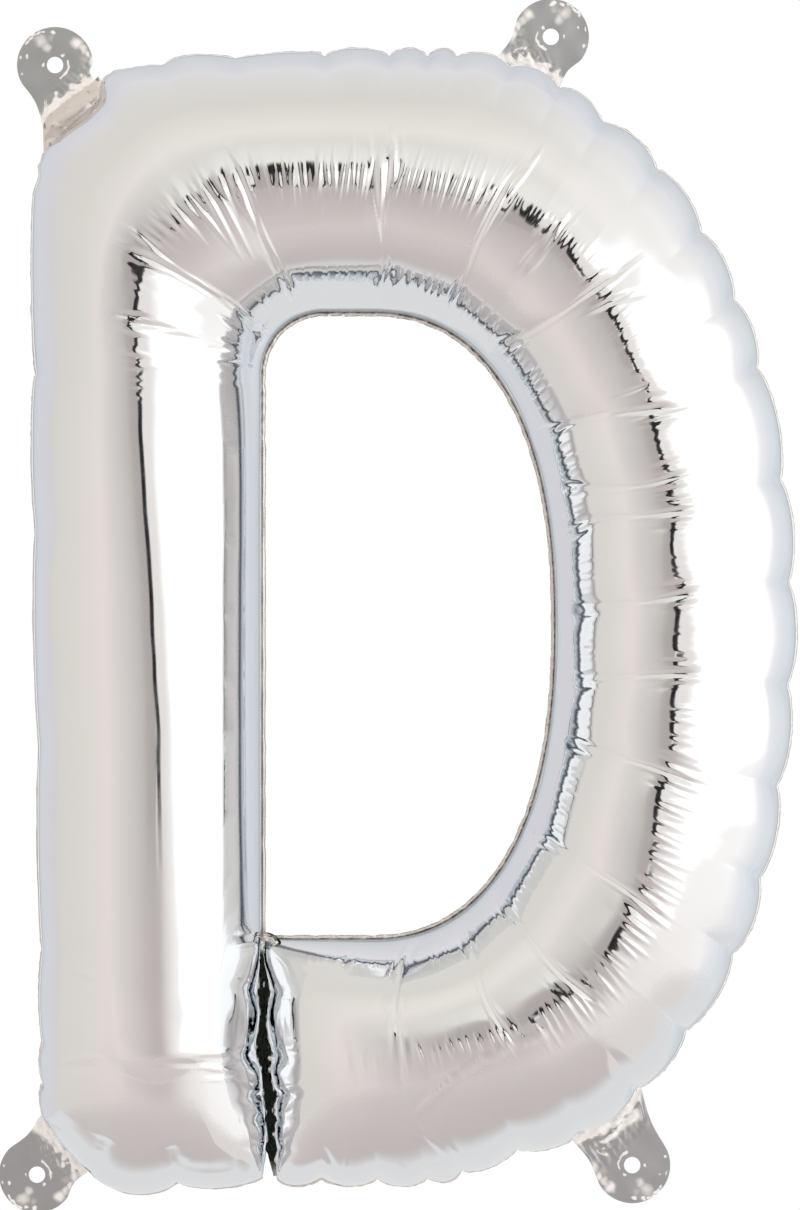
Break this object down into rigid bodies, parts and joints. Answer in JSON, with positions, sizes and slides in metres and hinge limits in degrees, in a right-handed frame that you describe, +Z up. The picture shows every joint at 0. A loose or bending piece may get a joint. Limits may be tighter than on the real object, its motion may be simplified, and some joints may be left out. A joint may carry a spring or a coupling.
{
  "type": "letter foil balloon",
  "caption": "Silver foil balloon in the shape of the letter D, filled with air, with hanging tabs that have punched holes.",
  "frame": {"origin": "midway between the holes of the two upper hanging tabs, in the plane of the seam", "axes": "+Z up the letter, +X to the reader's right, +Y away from the reader, so the front of the letter faces -Y"},
  "size_m": [0.244, 0.0762, 0.3702],
  "materials": {
    "front_foil": "mirror-bright foil",
    "back_foil": "mirror-bright foil",
    "outer_rim_foil": "bright foil, welded flat",
    "counter_rim_foil": "bright foil, welded flat",
    "weld_foil": "bright foil, welded flat",
    "tab_foil": "satin foil, slightly crinkled",
    "valve_film": "creased film"
  },
  "bodies": {
    "root": {"front_sheet": "front_foil", "back_sheet": "back_foil", "outer_rim": "outer_rim_foil", "counter_rim": "counter_rim_foil", "stem_to_bowl_weld": "weld_foil", "inflation_valve": "valve_film", "hanging_tab_top_left": "tab_foil", "hanging_tab_top_right": "tab_foil", "hanging_tab_bottom_left": "tab_foil", "hanging_tab_bottom_right": "tab_foil"}
  },
  "joints": []
}
